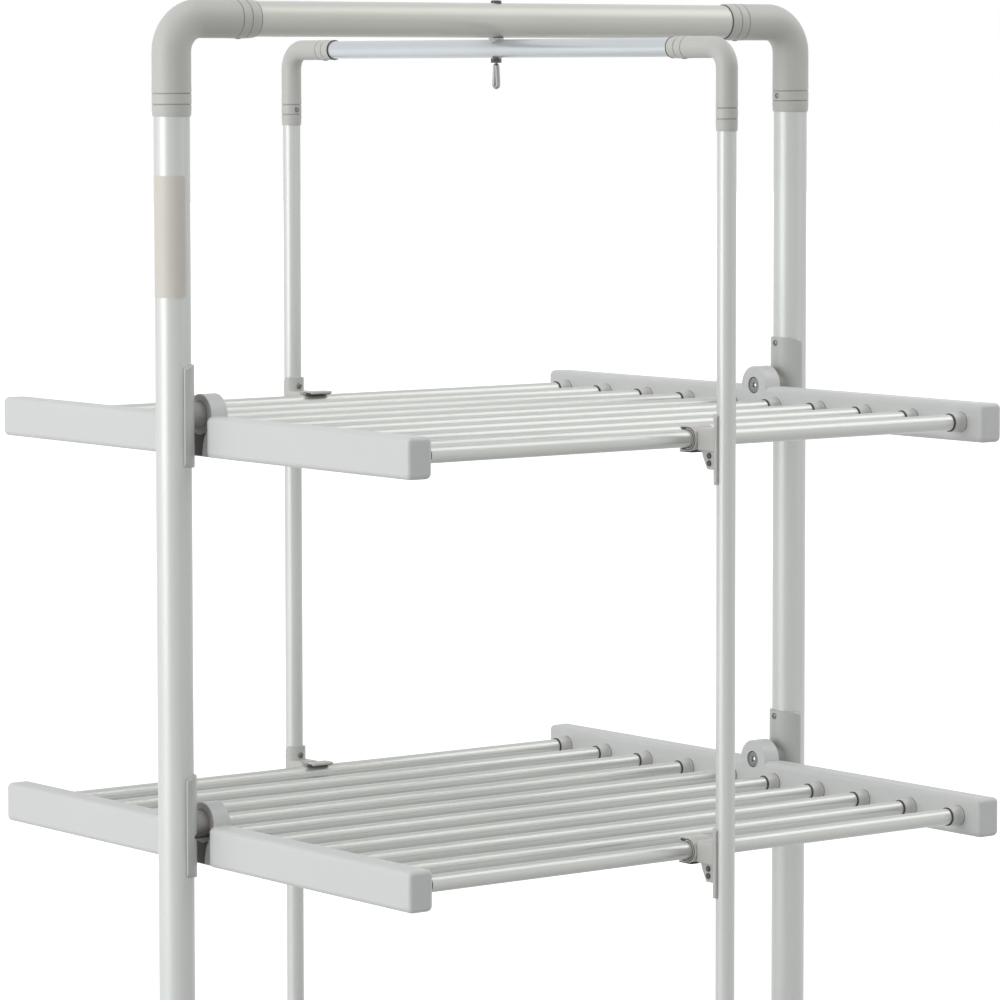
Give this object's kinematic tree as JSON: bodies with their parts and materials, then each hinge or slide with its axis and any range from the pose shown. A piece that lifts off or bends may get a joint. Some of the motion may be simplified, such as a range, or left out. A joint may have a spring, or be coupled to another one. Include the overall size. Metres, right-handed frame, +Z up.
{
  "type": "heated clothes airer",
  "caption": "Tower clothes airer: two tube frames crossing in plan on top and base pivots, folding shelves of heated rungs hinged on the outer frame and clipped to the inner one.",
  "frame": {"origin": "on the floor, centred under the tower where its two frames cross", "axes": "+Z up, +X towards the right outer post and along the rungs, -Y towards the front"},
  "size_m": [0.753, 0.69, 1.4825],
  "materials": {
    "tube": "satin anodised",
    "rung": "satin anodised",
    "elbow": "fine matt, warm light grey",
    "rail": "fine matt, light grey",
    "collar": "satin, light grey",
    "bracket": "satin grey paint",
    "clip": "fine matt, warm grey",
    "steel": "plain zinc plated",
    "rubber": "matt dark grey",
    "silicone": "matt pale silicone",
    "switch": "semi gloss black"
  },
  "bodies": {
    "outer_frame": {"outer_post_left": "tube", "outer_post_right": "tube", "outer_top_bar": "tube", "outer_base_bar": "tube", "outer_elbow_left": "elbow", "outer_elbow_right": "elbow", "outer_foot_left": "elbow", "outer_foot_right": "elbow", "outer_foot_pads": "rubber", "outer_frame_screws": "steel", "hinge_brackets": "bracket", "bracket_screws": "steel", "hinge_bushes": "collar", "hinge_bolts": "steel", "pivot_bolts": "steel", "switch_housing": "elbow", "switch_cover": "elbow", "cable_gland": "elbow", "supply_lead_1": "silicone", "supply_lead_2": "silicone", "supply_lead_3": "silicone"},
    "inner_frame": {"inner_post_front": "tube", "inner_post_rear": "tube", "inner_top_bar": "tube", "inner_base_bar": "tube", "inner_elbows": "elbow", "inner_tees": "elbow", "inner_foot_pads": "rubber", "inner_frame_screws": "steel", "pivot_spacers": "collar", "clip_brackets": "bracket", "clip_screws": "steel", "clip_blocks": "clip", "clip_pins": "steel", "clip_jaws_1": "clip", "clip_jaws_2": "clip", "clip_jaws_3": "clip"},
    "shelf_1": {"rail_left_1": "rail", "rail_right_1": "rail", "rail_caps_1": "rail", "rungs_1": "rung", "heating_cores_1": "silicone", "rung_collars_1": "collar", "rung_gaskets_1": "rubber"},
    "shelf_2": {"rail_left_2": "rail", "rail_right_2": "rail", "rail_caps_2": "rail", "rungs_2": "rung", "heating_cores_2": "silicone", "rung_collars_2": "collar", "rung_gaskets_2": "rubber"},
    "shelf_3": {"rail_left_3": "rail", "rail_right_3": "rail", "rail_caps_3": "rail", "rungs_3": "rung", "heating_cores_3": "silicone", "rung_collars_3": "collar", "rung_gaskets_3": "rubber"},
    "rocker": {"switch_rocker": "switch"},
    "loop": {"hanging_loop": "clip"}
  },
  "joints": [
    {"name": "inner_frame_twist", "type": "hinge", "parent": "outer_frame", "child": "inner_frame", "pos_m": [0, 0, 1.438], "axis": [0, 0, 1], "range_deg": [0, 72]},
    {"name": "top_shelf_fold", "type": "hinge", "parent": "outer_frame", "child": "shelf_1", "pos_m": [0, 0, 1.114], "axis": [1, 0, 0], "range_deg": [0, 82], "deforming": ["clip_jaws_1", "supply_lead_1"]},
    {"name": "middle_shelf_fold", "type": "hinge", "parent": "outer_frame", "child": "shelf_2", "pos_m": [0, 0, 0.749], "axis": [1, 0, 0], "range_deg": [0, 82], "deforming": ["clip_jaws_2", "supply_lead_2"]},
    {"name": "lower_shelf_fold", "type": "hinge", "parent": "outer_frame", "child": "shelf_3", "pos_m": [0, 0, 0.384], "axis": [1, 0, 0], "range_deg": [0, 82], "deforming": ["clip_jaws_3", "supply_lead_3"]},
    {"name": "hanging_loop_swivel", "type": "hinge", "parent": "outer_frame", "child": "loop", "pos_m": [0, 0, 1.4247], "axis": [0, 0, 1], "continuous": true},
    {"name": "power_rocker", "type": "hinge", "parent": "outer_frame", "child": "rocker", "pos_m": [0.359, 0.042, 0.20704], "axis": [1, 0, 0], "range_deg": [-14, 0]}
  ],
  "couplings": [
    {"joint": "top_shelf_fold", "follows": "inner_frame_twist", "ratio": 1.1388},
    {"joint": "middle_shelf_fold", "follows": "inner_frame_twist", "ratio": 1.1388},
    {"joint": "lower_shelf_fold", "follows": "inner_frame_twist", "ratio": 1.1388}
  ]
}
